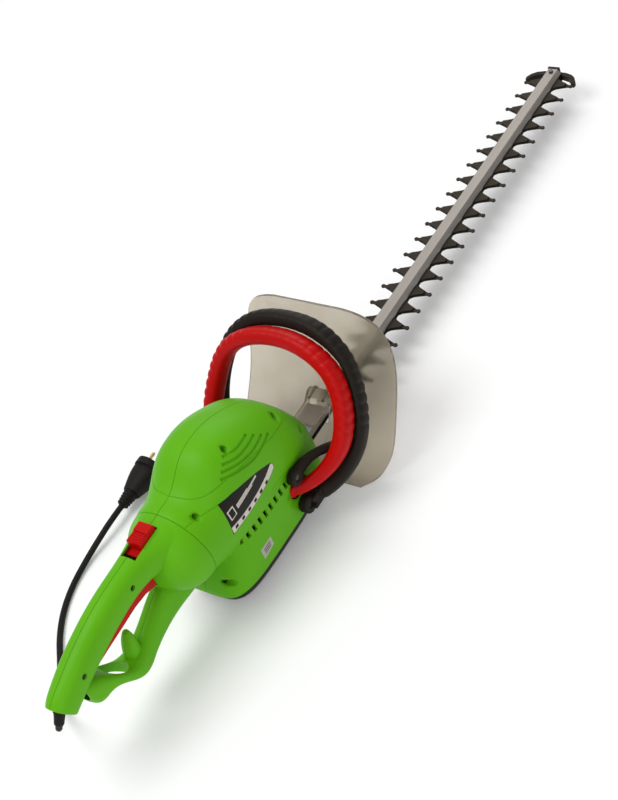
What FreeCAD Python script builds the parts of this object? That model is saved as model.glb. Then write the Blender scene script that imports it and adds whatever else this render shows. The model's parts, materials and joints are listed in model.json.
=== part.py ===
"""Electric hedge trimmer: motor housing, swivelling rear handle, front handle, guard and blades.

Millimetres. +X runs along the blade, +Y is the operator's left, +Z is up. The origin is on the
flat rest face of the base cover, under the motor's axis.
"""
import FreeCAD, Part
import math
import os

V = FreeCAD.Vector
doc = FreeCAD.newDocument("HedgeTrimmer")
sheet = doc.addObject("Spreadsheet::Sheet", "Sizes")

SIZES = {
    # overall layout
    "blade_height": 42,          # sliding plane between the two blades, above the rest face
    "base_depth": 28,            # height of the black base cover
    "wall": 3,                   # housing wall
    "swivel_x": -78,             # seam between housing and rear handle
    "swivel_height": 122,
    "swivel_radius": 52,
    "seam_gap": 0.6,
    # blades
    "tooth_pitch": 30,
    "tooth_count": 20,
    "first_tooth": 255,
    "tooth_reach": 35,           # centre of the round tooth tip from the blade's centre line
    "knob_radius": 2.8,
    "blade_thickness": 2,
    "comb_half_width": 12,
    "bar_base": 21.5,
    "bar_top": 14,
    "bar_height": 8,
    "comb_end": 846,
    "bar_start": 104,
    "bar_end": 846,
    "stroke": 8,                 # cutter travel each way
    "bolt_pitch": 120,
    "bolt_count": 6,
    "first_bolt": 210,
    "bolt_radius": 2.5,
    # gear train
    "gear_module": 1.25,
    "gear_teeth": 54,
    "pinion_teeth": 9,
    "gear_width": 8,
    "gear_level": 60,
    "shaft_radius": 5,
    "crank_radius": 8,
    "crank_throw": 8,
    # motor
    "stator_radius": 38,
    "stator_low": 112,
    "stator_high": 157,
    "rotor_radius": 21,
    "motor_shaft": 4,
    "fan_radius": 34,
    # handles
    "grip_wall": 2.6,
    "retainer_radius": 14.5,
    "trigger_pin": 2,
    "cord_radius": 3.8,
}
for row, (alias, value) in enumerate(SIZES.items(), start=1):
    sheet.set(f"A{row}", alias)
    sheet.set(f"B{row}", str(value))
    sheet.setAlias(f"B{row}", alias)
doc.recompute()


def size(alias):
    return float(getattr(sheet, alias))


BLADE = size("blade_height")
BASE = size("base_depth")
WALL = size("wall")
THROW = size("crank_throw")
PITCH_RADIUS = size("gear_module") * size("gear_teeth") / 2
PINION_PITCH = size("gear_module") * size("pinion_teeth") / 2
GEAR_X = PITCH_RADIUS + PINION_PITCH
GEAR_LEVEL = size("gear_level")
SWIVEL_X = size("swivel_x")
SWIVEL_Z = size("swivel_height")
SWIVEL_R = size("swivel_radius")

CASE_LOW = BLADE + 6
CASE_HIGH = 74
CASE_SCREWS = [(-20, -30), (-20, 30), (80, -30), (80, 30)]
BASE_SCREWS = [(-22, -27), (-22, 27), (84, -27), (84, 27)]

TURNS = {
    "Z": FreeCAD.Rotation(),
    "X": FreeCAD.Rotation(V(0, 1, 0), 90),
    "Y": FreeCAD.Rotation(V(1, 0, 0), -90),
    "-Z": FreeCAD.Rotation(V(1, 0, 0), 180),
    "-X": FreeCAD.Rotation(V(0, 1, 0), -90),
    "-Y": FreeCAD.Rotation(V(1, 0, 0), 90),
}
subparts = []


# ---------------------------------------------------------------- building blocks

def place(x=0, y=0, z=0, along="Z"):
    return FreeCAD.Placement(V(x, y, z), TURNS[along])


def subpart(feature, label):
    """Give a finished piece its label and list it for export."""
    feature.Label = label
    subparts.append(feature)
    return feature


def fixed_shape(label, shape):
    """A free-form piece, with its shape set directly."""
    feature = doc.addObject("Part::Feature", label)
    feature.Shape = shape
    feature.Placement = place()
    return subpart(feature, label)


def rod(name, radius, length, at, along="Z"):
    """A round bar whose radius and length follow the sheet."""
    bar = doc.addObject("Part::Cylinder", name)
    bar.setExpression("Radius", str(radius))
    bar.setExpression("Height", str(length))
    bar.Placement = place(*at, along=along)
    return bar


def block(name, length, width, height, at):
    """A box centred on Y, standing on its lowest face, whose sizes follow the sheet."""
    box = doc.addObject("Part::Box", name)
    box.setExpression("Length", str(length))
    box.setExpression("Width", str(width))
    box.setExpression("Height", str(height))
    box.setExpression("Placement.Base.y", f"{at[1]} - ({width}) / 2")
    box.Placement = place(*at)
    return box


def join(name, *pieces):
    group = doc.addObject("Part::MultiFuse", name)
    group.Shapes = list(pieces)
    return group


def cut(name, base, *tools):
    tool = tools[0] if len(tools) == 1 else join(name + "_tools", *tools)
    result = doc.addObject("Part::Cut", name)
    result.Base = base
    result.Tool = tool
    return result


def bundle(name, *pieces):
    """Separate solids that share one node."""
    group = doc.addObject("Part::Compound", name)
    group.Links = list(pieces)
    return group


def bearing(name, outer, bore, width, at):
    ring = rod(name + "_ring", outer, width, at)
    hole = rod(name + "_hole", bore, width, at)
    return subpart(cut(name + "_cut", ring, hole), name)


def cylinder(radius, length, at, axis):
    return Part.makeCylinder(radius, length, V(*at), V(*axis))


def slab(x0, x1, y0, y1, z0, z1):
    return Part.makeBox(x1 - x0, y1 - y0, z1 - z0, V(x0, y0, z0))


def rounding(value, power):
    return math.copysign(abs(value) ** (2 / power), value)


def closed_curve(points):
    curve = Part.BSplineCurve()
    curve.interpolate(points, PeriodicFlag=True)
    return Part.Wire([curve.toShape()])


def cross_section(x, half_width, low, high, power=2.2, steps=24):
    """An upright rounded section of a body that runs along X."""
    middle = (low + high) / 2
    half = (high - low) / 2
    points = []
    for i in range(steps):
        turn = 2 * math.pi * i / steps
        y = half_width * rounding(math.cos(turn), power)
        z = middle + half * rounding(math.sin(turn), power)
        points.append(V(x, y, z))
    return closed_curve(points)


def plan_outline(z, rear, front, half_width, rear_power=4.5, front_power=3.5, steps=32):
    """A level outline of the housing's skirt, squarer at its rear end."""
    middle = (rear + front) / 2
    half = (front - rear) / 2
    points = []
    for i in range(steps):
        turn = 2 * math.pi * i / steps
        power = front_power if math.cos(turn) > 0 else rear_power
        x = middle + half * rounding(math.cos(turn), power)
        y = half_width * rounding(math.sin(turn), power)
        points.append(V(x, y, z))
    return closed_curve(points)


def loft(wires):
    return Part.makeLoft(wires, True, False, False)


# ---------------------------------------------------------------- housing

# x, half width, lowest, highest, squareness of the section
UPPER_BODY = [
    (-78, 52, 70, 174, 2.0),
    (-64, 52.5, 68, 175, 2.05),
    (-46, 54, 64, 180, 2.2),
    (-22, 56.5, 60, 197, 2.4),
    (8, 58, 58, 204, 2.5),
    (40, 58, 58, 198.5, 2.5),
    (70, 57, 58, 185, 2.4),
    (96, 54, 58, 167, 2.4),
    (116, 47, 60, 141, 2.4),
    (129, 36, 64, 112, 2.3),
    (135, 24, 72, 92, 2.2),
]
# height, rear end, front end, half width
SKIRT = [
    (28, -77, 132, 52.5),
    (44, -71, 135, 53.5),
    (62, -60, 136.5, 54.5),
    (84, -48, 136, 55),
    (104, -36, 129, 53),
    (118, -22, 116, 48),
]


def upper_body(inset=0):
    wires = []
    for x, half_width, low, high, power in UPPER_BODY:
        if x == UPPER_BODY[0][0]:
            x += 1.4 * inset
        if x == UPPER_BODY[-1][0]:
            x -= 1.2 * inset
        wires.append(cross_section(x, half_width - inset, low + inset, high - inset, power))
    return loft(wires)


def skirt(inset=0, extra=0):
    wires = []
    for z, rear, front, half_width in SKIRT:
        level = z - extra if z == SKIRT[0][0] else z
        if z == SKIRT[-1][0]:
            level = z - inset
        wires.append(plan_outline(level, rear + inset, front - inset, half_width - inset))
    return loft(wires)


# places of the screws that pull the halves together: x, z
HOUSING_SCREWS = [(12, 191), (-60, 161), (91, 157), (110, 118), (113, 68), (-64, 47)]
PIVOT = (58, 69)             # x and z of the switch bar's hinge
PIVOT_R = 3.5
FOOT_X = 63                  # screws of the front handle's feet
FOOT_LEVELS = (44, 92)
SCREW_R = 2
HEAD_R = 3.6
VENT_COUNT = 9
VENT_PITCH = 10.5
FIRST_VENT = -34
VENT_LEVEL = 90


def housing():
    outer = upper_body().fuse(skirt())
    cavity = upper_body(WALL).fuse(skirt(WALL, extra=2))
    skin = outer.cut(upper_body(0.7).fuse(skirt(0.7, extra=2)))

    ribs = [slab(x - 1, x + 1, -60, 60, low, high)
            for x, low, high in ((-36, 98, 200), (46, 98, 200), (10, 50, 76), (88, 50, 76))]
    ribs += [slab(-60, 70, -60, 60, level - 1, level + 1) for level in (116, 152)]
    frame = ribs[0].fuse(ribs[1:]).common(cavity)
    motor_room = cylinder(size("stator_radius") + 0.2, 120, (0, 0, 80), (0, 0, 1))
    case_room = slab(-30, 92, -41, 41, 40, CASE_HIGH + 4)
    frame = frame.cut([motor_room, case_room, slab(-80, -62, -40, 40, 60, 180)])
    posts = [cylinder(4.6, 130, (x, -65, z), (0, 1, 0)) for x, z in HOUSING_SCREWS]
    bosses = posts[0].fuse(posts[1:]).common(cavity)
    body = outer.cut(cavity).fuse([frame, bosses])

    tools = [slab(-90, 150, -0.3, 0.3, 20, 210).common(skin)]
    for x, z in HOUSING_SCREWS:
        tools.append(cylinder(SCREW_R, 58, (x, -50, z), (0, 1, 0)))
        tools.append(cylinder(HEAD_R + 0.4, 60, (x, -84, z), (0, 1, 0)))
    for i in range(VENT_COUNT):
        x = FIRST_VENT + i * VENT_PITCH
        for low in (-66, 40):
            tools.append(slab(x - 2.4, x + 2.4, low, low + 26, VENT_LEVEL - 5, VENT_LEVEL + 5))
    tools.append(cylinder(36, 20, (SWIVEL_X - 5, 0, SWIVEL_Z), (1, 0, 0)))
    tools.append(slab(96, 150, -17, 17, 20, 57))
    for side in (-1, 1):
        tools.append(cylinder(14.5, 24, (PIVOT[0] + 6, side * 56 - 12, PIVOT[1]), (0, 1, 0)))
        for z in FOOT_LEVELS:
            tools.append(cylinder(1.7, 24, (FOOT_X, side * 54 - 12, z), (0, 1, 0)))
    return body.cut(tools)


def split_housing():
    body = housing()
    fixed_shape("housing_left", body.common(slab(-100, 160, 0, 80, 0, 220)))
    fixed_shape("housing_right", body.common(slab(-100, 160, -80, 0, 0, 220)))


# ---------------------------------------------------------------- rear handle

# x, half width, lowest, highest, squareness
GRIP = [
    (-86, 38, 104, 174, 2.2),
    (-104, 29, 119, 174, 2.3),
    (-124, 21, 129, 173.5, 2.4),
    (-150, 17.5, 133.5, 172.5, 2.5),
    (-188, 17, 130.5, 170.5, 2.5),
    (-224, 17, 123, 164, 2.5),
    (-258, 17, 113, 153.5, 2.5),
    (-284, 16.5, 103, 143, 2.4),
    (-298, 14.5, 99, 136.5, 2.3),
    (-305, 11, 104, 130, 2.2),
]
LOOP = [
    (-86, 26, 66, 122, 2.2),
    (-104, 18, 61, 110, 2.4),
    (-126, 14.5, 60, 105, 2.6),
    (-150, 13.5, 57, 95, 2.6),
    (-176, 14, 50, 82, 2.6),
    (-198, 17, 47, 76, 2.6),
    (-222, 19, 66, 88, 2.8),
    (-246, 18, 79, 112, 2.6),
    (-268, 16, 94, 128, 2.4),
]
RETAINER_X = -222
PIVOT_X = -250
PIVOT_Z = 128
HANDLE_SCREWS = [(-159, 156), (-260, 136.5)]
HANDLE_FRONT = SWIVEL_X - size("seam_gap")
CORD_START = (-285, 0, 132)  # inside the rear end of the handle
CORD_OUT = (-0.633, 0, -0.774)
RELIEF_R = 7.2


def tube_of(table, inset):
    return loft([cross_section(x, w - inset, low + inset, high - inset, power)
                 for x, w, low, high, power in table])


def shoulder(inset=0):
    """The rounded shoulder behind the swivel: half an ellipsoid about the swivel axis."""
    radius = SWIVEL_R - inset
    depth = 50 - inset
    wires = []
    for degrees in (0, 18, 36, 53, 68, 79, 85):
        turn = math.radians(degrees)
        x = HANDLE_FRONT - depth * math.sin(turn)
        r = radius * math.cos(turn)
        wires.append(cross_section(x, r, SWIVEL_Z - r, SWIVEL_Z + r, 2.0))
    return loft(wires)


def rear_handle():
    wall = size("grip_wall")
    outer = shoulder().fuse([tube_of(GRIP, 0), tube_of(LOOP, 0)])
    tongue = loft([plan_outline(62, -204, -184, 9, 2.4, 2.4), plan_outline(84, -201, -182, 9, 2.4, 2.4),
                   plan_outline(97, -195, -181.8, 7.5, 2.2, 2.2), plan_outline(105, -190, -183, 4, 2, 2)])
    outer = outer.fuse(tongue)
    outer = outer.cut(slab(HANDLE_FRONT, 0, -80, 80, 40, 200))
    inner = shoulder(wall).fuse([tube_of(GRIP, wall), tube_of(LOOP, wall)])
    inner = inner.cut(cylinder(size("retainer_radius") + wall, 120, (RETAINER_X, 0, 20), (0, 0, 1)))
    inner = inner.common(slab(-293, HANDLE_FRONT + 1, -80, 80, 40, 200))
    skin = outer.cut(shoulder(0.7).fuse([tube_of(GRIP, 0.7), tube_of(LOOP, 0.7)]))

    posts = [cylinder(4.2, 90, (x, -45, z), (0, 1, 0)) for x, z in HANDLE_SCREWS]
    posts.append(cylinder(5, 90, (PIVOT_X, -45, PIVOT_Z), (0, 1, 0)))
    ribs = [slab(-206, -203, -20, 20, 137, 160), slab(-182, -179, -20, 20, 137, 160)]
    ribs.append(slab(-155, -145, -20, 20, 152.4, 155))
    ribs.append(slab(-141, -138.4, -20, 20, 158, 175))
    switch_room = slab(-208, -174, -6.5, 6.5, 130, 157)
    bosses = posts[0].fuse(posts[1:] + ribs).common(inner).cut(switch_room)
    body = outer.cut(inner).fuse(bosses)

    tools = [slab(-310, -70, -0.3, 0.3, 40, 180).common(skin)]
    tools.append(cylinder(size("retainer_radius"), 60, (RETAINER_X, 0, 40), (0, 0, 1)))
    tools.append(cylinder(size("retainer_radius") + 1.6, 32, (RETAINER_X, 0, 40), (0, 0, 1)))
    tools.append(slab(-260, -121, -7.6, 7.6, 114, 142))
    tools.append(slab(-136, -92, -10.3, 10.3, 158, 180))
    tools.append(cylinder(size("trigger_pin"), 26, (PIVOT_X, -13, PIVOT_Z), (0, 1, 0)))
    end = Part.makeBox(40, 80, 80, V(0, -40, -40))
    end.Placement = FreeCAD.Placement(V(-296, 0, 118), FreeCAD.Rotation(V(0, 1, 0), 147))
    tools.append(end)
    tools.append(cylinder(RELIEF_R, 60, CORD_START, CORD_OUT))
    for x, z in HANDLE_SCREWS:
        tools.append(cylinder(SCREW_R - 0.4, 30, (x, -20, z), (0, 1, 0)))
        tools.append(cylinder(HEAD_R - 0.2, 40, (x, -52, z), (0, 1, 0)))
    return body.cut(tools)


def split_rear_handle():
    body = rear_handle()
    fixed_shape("rear_handle_left", body.common(slab(-320, -70, 0, 80, 30, 220)))
    fixed_shape("rear_handle_right", body.common(slab(-320, -70, -80, 0, 30, 220)))


# ---------------------------------------------------------------- base cover and gear case

def base_cover():
    """The black tray under the housing: it carries the gear case and is the rest face."""
    outer = loft([plan_outline(0, -57, 112, 32), plan_outline(BASE - 4, -74, 129, 49.5),
                  plan_outline(BASE, -75, 130, 50)])
    pocket = loft([plan_outline(3, -52, 107, 29), plan_outline(BASE + 1, -71, 126, 46.5)])
    tray = outer.cut(pocket)
    pillars = [cylinder(4.5, BASE - 3.2, (x, y, 3), (0, 0, 1)) for x, y in BASE_SCREWS]
    tray = tray.fuse(pillars)
    holes = [cylinder(1.9, 40, (x, y, -2), (0, 0, 1)) for x, y in BASE_SCREWS]
    holes += [cylinder(3.8, 4.5, (x, y, -2), (0, 0, 1)) for x, y in BASE_SCREWS]
    holes.append(slab(104, 140, -17, 17, BASE - 6, BASE + 2))
    return fixed_shape("base_cover", tray.cut(holes))


def gear_case():
    """Cast tray with the bottom bearing seat and two rails down to the blade."""
    centre = (-30 + 92) / 2
    body = block("case_body", "122", "82", str(CASE_HIGH - CASE_LOW), (centre - 61, 0, CASE_LOW))
    room = block("case_room", "114", "74", "40", (centre - 57, 0, CASE_LOW + 4))
    seat = rod("case_seat", "17", "10", (GEAR_X, 0, CASE_LOW))
    seat_bore = rod("case_seat_bore", "13.02", "7.5", (GEAR_X, 0, CASE_LOW + 2.6))
    shaft_bore = rod("case_shaft_bore", "Sizes.shaft_radius + 1", "40", (GEAR_X, 0, 30))
    pillars = [rod(f"case_pillar_{i}", "4.5", str(CASE_HIGH - CASE_LOW), (x, y, CASE_LOW))
               for i, (x, y) in enumerate(CASE_SCREWS)]
    holes = [rod(f"case_hole_{i}", "1.7", "22", (x, y, CASE_HIGH - 20))
             for i, (x, y) in enumerate(CASE_SCREWS)]
    tray = cut("case_tray", body, room)
    legs = [rod(f"case_leg_{i}", "4", str(CASE_LOW - BASE + 0.2), (x, y, BASE - 0.2))
            for i, (x, y) in enumerate(BASE_SCREWS)]
    holes += [rod(f"case_leg_hole_{i}", "1.9", "14", (x, y, BASE - 1))
              for i, (x, y) in enumerate(BASE_SCREWS)]
    holes.append(rod("case_pivot_bore", f"{PIVOT_R} + 0.1", "100", (PIVOT[0], -50, PIVOT[1]), "Y"))
    solid = join("case_solid", tray, seat, *pillars, *legs)
    subpart(cut("case_bored", solid, seat_bore, shaft_bore, *holes), "gear_case")

    lid = block("cover_lid", "122", "82", "4", (centre - 61, 0, CASE_HIGH))
    motor_boss = rod("cover_motor_boss", "15", "20", (0, 0, CASE_HIGH))
    gear_boss = rod("cover_gear_boss", "16", "12", (GEAR_X, 0, CASE_HIGH))
    motor_seat = rod("cover_motor_seat", "11.02", "14", (0, 0, CASE_HIGH + 10))
    motor_bore = rod("cover_motor_bore", "9", "40", (0, 0, CASE_HIGH - 5))
    gear_seat = rod("cover_gear_seat", "13.02", "12", (GEAR_X, 0, CASE_HIGH - 5))
    screw_holes = [rod(f"cover_hole_{i}", "2.1", "20", (x, y, CASE_HIGH - 5))
                   for i, (x, y) in enumerate(CASE_SCREWS)]
    solid = join("cover_solid", lid, motor_boss, gear_boss)
    subpart(cut("cover_bored", solid, motor_seat, motor_bore, gear_seat, *screw_holes),
            "gear_case_cover")


# ---------------------------------------------------------------- gears

def origin_plane(body, role):
    for feature in body.Origin.OriginFeatures:
        if feature.Role == role:
            return feature
    raise RuntimeError(role)


def new_sketch(body, name, role="XY_Plane"):
    sketch = body.newObject("Sketcher::SketchObject", name)
    sketch.AttachmentSupport = [(origin_plane(body, role), "")]
    sketch.MapMode = "FlatFace"
    return sketch


def draw_polygon(sketch, points):
    corners = [V(x, y, 0) for x, y in points]
    for start, end in zip(corners, corners[1:] + corners[:1]):
        sketch.addGeometry(Part.LineSegment(start, end))


def draw_circle(sketch, radius, x=0, y=0):
    sketch.addGeometry(Part.Circle(V(x, y, 0), V(0, 0, 1), radius))


def pad(body, name, sketch, length):
    feature = body.newObject("PartDesign::Pad", name)
    feature.Profile = sketch
    feature.setExpression("Length", str(length))
    return feature


def toothed_wheel(name, teeth, width, bore, turn=0):
    """A spur gear: root disc, one tooth, and a polar pattern of it."""
    module = size("gear_module")
    pitch = module * teeth / 2
    root = pitch - 1.25 * module
    tip = pitch + 0.95 * module
    flank = math.pi / (2 * teeth)
    body = doc.addObject("PartDesign::Body", name)
    disc = new_sketch(body, name + "_disc")
    draw_circle(disc, root)
    draw_circle(disc, bore)
    pad(body, name + "_blank", disc, width)
    tooth = new_sketch(body, name + "_tooth")
    widths = [(root - 0.3, 1.35), (pitch, 0.9), (tip, 0.42)]
    side = [(r * math.cos(k * flank), r * math.sin(k * flank)) for r, k in widths]
    other = [(x, -y) for x, y in reversed(side)]
    draw_polygon(tooth, side + other)
    one = pad(body, name + "_tooth_pad", tooth, width)
    ring = body.newObject("PartDesign::PolarPattern", name + "_teeth")
    ring.Originals = [one]
    ring.Axis = (disc, ["N_Axis"])
    ring.Angle = 360
    ring.Occurrences = teeth
    body.Tip = ring
    body.Placement = FreeCAD.Placement(V(), FreeCAD.Rotation(V(0, 0, 1), turn))
    return body


def gear_train():
    teeth = int(size("gear_teeth"))
    pinion_teeth = int(size("pinion_teeth"))
    wheel = toothed_wheel("drive_gear_body", teeth, "Sizes.gear_width", size("shaft_radius"))
    # a gap of the wheel faces the pinion, whose tooth points at the wheel
    wheel.Placement = FreeCAD.Placement(
        V(GEAR_X, 0, GEAR_LEVEL), FreeCAD.Rotation(V(0, 0, 1), 180 + 180 / teeth))
    subpart(wheel, "drive_gear")
    pinion = toothed_wheel("pinion_body", pinion_teeth, "Sizes.gear_width + 4", 2.5)
    pinion.Placement = place(0, 0, GEAR_LEVEL - 2)
    subpart(pinion, "pinion")

    shaft = rod("gear_shaft_rod", "Sizes.shaft_radius", "34.4", (GEAR_X, 0, BLADE + 4))
    crank = rod("crank_disc", "Sizes.crank_radius", "5.2", (GEAR_X + THROW, 0, BLADE - 1))
    web = rod("crank_web", "13", "1.6", (GEAR_X, 0, BLADE + 4.2))
    subpart(join("crank_shaft_solid", shaft, crank, web), "crank_shaft")
    bearing("gear_bearing_low", "13", "Sizes.shaft_radius", "7", (GEAR_X, 0, CASE_LOW + 2.6))
    bearing("gear_bearing_top", "13", "Sizes.shaft_radius", "7", (GEAR_X, 0, CASE_HIGH - 0.5))


# ---------------------------------------------------------------- motor

def winding_ring(name, outer, inner, height, z):
    ring = rod(name + "_outer", outer, height, (0, 0, z))
    hole = rod(name + "_inner", inner, height, (0, 0, z))
    return cut(name, ring, hole)


def motor():
    low = size("stator_low")
    high = size("stator_high")
    stack = f"{high - low}"
    core = rod("stator_outer", "Sizes.stator_radius", stack, (0, 0, low))
    bore = rod("stator_bore", "Sizes.rotor_radius + 0.5", "90", (0, 0, low - 20))
    windows = [block(f"stator_window_{side}", "30", "9", "90", (-15, side * 28, low - 20))
               for side in (-1, 1)]
    subpart(cut("stator_cut", core, bore, *windows), "stator_core")

    coils = []
    for side in (-1, 1):
        coil = block(f"coil_block_{side}", "27", "7.5", f"{high - low + 13}",
                     (-13.5, side * 28, low - 8))
        coils.append(coil)
    subpart(bundle("coil_pair", *coils), "field_coils")

    shaft = rod("motor_shaft_rod", "Sizes.motor_shaft", "128.4", (0, 0, 57))
    step = rod("motor_shaft_step", "Sizes.motor_shaft + 2", "20", (0, 0, 57))
    relief = cut("motor_shaft_relief", step, rod("motor_shaft_keep", "2.5", "20", (0, 0, 57)))
    subpart(cut("motor_shaft_turned", shaft, relief), "motor_shaft")

    core = rod("rotor_disc", "Sizes.rotor_radius", stack, (0, 0, low))
    bore = rod("rotor_bore", "Sizes.motor_shaft", stack, (0, 0, low))
    slots = []
    for i in range(12):
        turn = math.radians(30 * i)
        place = (17.2 * math.cos(turn), 17.2 * math.sin(turn), low)
        slots.append(rod(f"rotor_slot_{i}", "2.2", stack, place))
    subpart(cut("rotor_core_cut", core, bore, *slots), "rotor_core")
    wires = []
    for i in range(12):
        turn = math.radians(30 * i)
        spot = (17.2 * math.cos(turn), 17.2 * math.sin(turn), low)
        wires.append(rod(f"rotor_wire_{i}", "2.1", stack, spot))
    for name, level in (("low", low - 5), ("top", high)):
        wires.append(winding_ring(f"rotor_end_{name}", "19", "6", "5", level))
    subpart(join("rotor_winding_solid", *wires), "rotor_winding")

    bars = rod("commutator_outer", "12", "11", (0, 0, 164))
    hole = rod("commutator_inner", "Sizes.motor_shaft", "11", (0, 0, 164))
    grooves = []
    for i in range(12):
        turn = 30 * i + 15
        groove = block(f"commutator_groove_{i}", "3", "0.8", "11", (10.5, 0, 164))
        groove.setExpression("Placement.Base.y", None)
        groove.Placement = FreeCAD.Placement(V(0, 0, 0), FreeCAD.Rotation(V(0, 0, 1), turn)).multiply(
            FreeCAD.Placement(V(10.5, -0.4, 164), FreeCAD.Rotation()))
        grooves.append(groove)
    subpart(cut("commutator_cut", bars, hole, *grooves), "commutator")

    hub = rod("fan_hub", "9", "8", (0, 0, 95))
    plate = rod("fan_plate", "Sizes.fan_radius", "1.6", (0, 0, 95))
    blades = []
    for i in range(9):
        blade = doc.addObject("Part::Box", f"fan_blade_{i}")
        blade.setExpression("Length", "Sizes.fan_radius - 8")
        blade.Width = 1.4
        blade.Height = 7
        blade.Placement = FreeCAD.Placement(V(0, 0, 0), FreeCAD.Rotation(V(0, 0, 1), 40 * i)).multiply(
            FreeCAD.Placement(V(7, -0.7, 96), FreeCAD.Rotation()))
        blades.append(blade)
    fan = join("fan_solid", hub, plate, *blades)
    subpart(cut("fan_bored", fan, rod("fan_bore", "Sizes.motor_shaft", "20", (0, 0, 90))), "fan")

    bearing("motor_bearing_low", "11", "Sizes.motor_shaft", "7", (0, 0, 84))
    bearing("motor_bearing_top", "11", "Sizes.motor_shaft", "7", (0, 0, 178))
    seat = rod("top_seat_outer", "14", "10", (0, 0, 175.8))
    arms = block("top_seat_arms", "10", "66", "3", (-5, 0, 175.8))
    arms_x = block("top_seat_arms_x", "80", "10", "3", (-35, 0, 175.8))
    room = rod("top_seat_bore", "11.02", "9", (0, 0, 178))
    clear = rod("top_seat_clear", "6", "9", (0, 0, 172))
    subpart(cut("top_seat_cut", join("top_seat_solid", seat, arms, arms_x), room, clear), "bearing_bridge")

    holders = []
    brushes = []
    for side in (-1, 1):
        tube = block(f"brush_tube_{side}", "8", "18", "11.4", (-4, side * 22, 164.4))
        room = block(f"brush_room_{side}", "5.4", "19", "7.4", (-2.7, side * 22, 165.7))
        holders.append(cut(f"brush_holder_{side}", tube, room))
        brushes.append(block(f"brush_{side}", "5.2", "14", "7.2", (-2.6, side * 19.4, 165.8)))
    subpart(bundle("brush_holder_pair", *holders), "brush_holders")
    subpart(bundle("brush_pair", *brushes), "carbon_brushes")


# ---------------------------------------------------------------- cutting blades and bar

COMB_TOP = BLADE - 0.05
CUTTER_LOW = BLADE
THICK = size("blade_thickness")
BAR_LOW = BLADE + THICK + 0.05
TIP_SCREW_X = 839
BOLT_DEPTH = 6.5             # how far the bolts reach into the bar
BRACKET_SCREWS = (112, 142)


def bolt_places():
    return [size("first_bolt") + i * size("bolt_pitch") for i in range(int(size("bolt_count")))]


def both_sides(points):
    """Outline of a tooth and its mirror image across the blade."""
    return [points, [(x, -y) for x, y in points]]


def comb_blade():
    """The fixed blade: blunt teeth with round tips, on a strip bolted under the bar."""
    body = doc.addObject("PartDesign::Body", "comb_blade_body")
    half = size("comb_half_width")
    strip = new_sketch(body, "comb_strip")
    end = size("comb_end")
    draw_polygon(strip, [(100, -half), (end, -half), (end, half), (100, half)])
    draw_circle(strip, 2, TIP_SCREW_X, 0)
    for x in bolt_places():
        draw_circle(strip, size("bolt_radius") + 0.02, x, 0)
    pad(body, "comb_strip_pad", strip, "Sizes.blade_thickness")
    reach = size("tooth_reach")
    tooth = new_sketch(body, "comb_tooth")
    for points in both_sides([(-13.5, half - 1), (13.5, half - 1), (8.6, 15.5), (5.6, 22), (3, 29), (2, 31.5),
                              (2, reach), (-2, reach), (-2, 31.5), (-3, 29), (-5.6, 22), (-8.6, 15.5)]):
        draw_polygon(tooth, [(size("first_tooth") + x, y) for x, y in points])
    one = pad(body, "comb_tooth_pad", tooth, "Sizes.blade_thickness")
    knobs = new_sketch(body, "comb_knobs")
    for side in (-1, 1):
        draw_circle(knobs, size("knob_radius"), size("first_tooth"), side * reach)
    two = pad(body, "comb_knob_pad", knobs, "Sizes.blade_thickness")
    doc.recompute()
    row = body.newObject("PartDesign::LinearPattern", "comb_teeth")
    row.Originals = [one, two]
    row.Direction = (strip, ["H_Axis"])
    row.setExpression("Length", "Sizes.tooth_pitch * (Sizes.tooth_count - 1)")
    row.Occurrences = int(size("tooth_count"))
    body.Tip = row
    body.Placement = place(0, 0, COMB_TOP - THICK)
    return subpart(body, "comb_blade")


def cutter_blade():
    """The sliding blade: sharp teeth, bolt slots, and the yoke that the crank turns in."""
    body = doc.addObject("PartDesign::Body", "cutter_blade_body")
    stroke = size("stroke")
    half = size("comb_half_width") - 1
    strip = new_sketch(body, "cutter_strip")
    crank = size("crank_radius") + 0.4
    window_x = crank + THROW + stroke
    window_y = crank + THROW
    rim = 6
    yoke_front = GEAR_X + window_x + rim
    draw_polygon(strip, [
        (GEAR_X - window_x - rim, -window_y - rim), (yoke_front, -window_y - rim),
        (yoke_front + 8, -half), (826, -half), (826, half), (yoke_front + 8, half),
        (yoke_front, window_y + rim), (GEAR_X - window_x - rim, window_y + rim)])
    draw_polygon(strip, [
        (GEAR_X - window_x, -window_y), (GEAR_X + window_x, -window_y),
        (GEAR_X + window_x, window_y), (GEAR_X - window_x, window_y)])
    slot = size("bolt_radius") + 0.6
    for x in bolt_places():
        reach = stroke + slot
        draw_polygon(strip, [(x - reach, -slot), (x + reach, -slot), (x + reach, slot), (x - reach, slot)])
    pad(body, "cutter_strip_pad", strip, "Sizes.blade_thickness")
    tooth = new_sketch(body, "cutter_tooth")
    for points in both_sides([(-12, half - 1), (12, half - 1), (7.6, 16), (4.8, 22), (2.6, 27.5),
                              (-2.6, 27.5), (-4.8, 22), (-7.6, 16)]):
        draw_polygon(tooth, [(size("first_tooth") + x, y) for x, y in points])
    one = pad(body, "cutter_tooth_pad", tooth, "Sizes.blade_thickness")
    doc.recompute()
    row = body.newObject("PartDesign::LinearPattern", "cutter_teeth")
    row.Originals = [one]
    row.Direction = (strip, ["H_Axis"])
    row.setExpression("Length", "Sizes.tooth_pitch * (Sizes.tooth_count - 1)")
    row.Occurrences = int(size("tooth_count"))
    body.Tip = row
    body.Placement = place(0, 0, CUTTER_LOW)
    return subpart(body, "cutter_blade")


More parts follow.
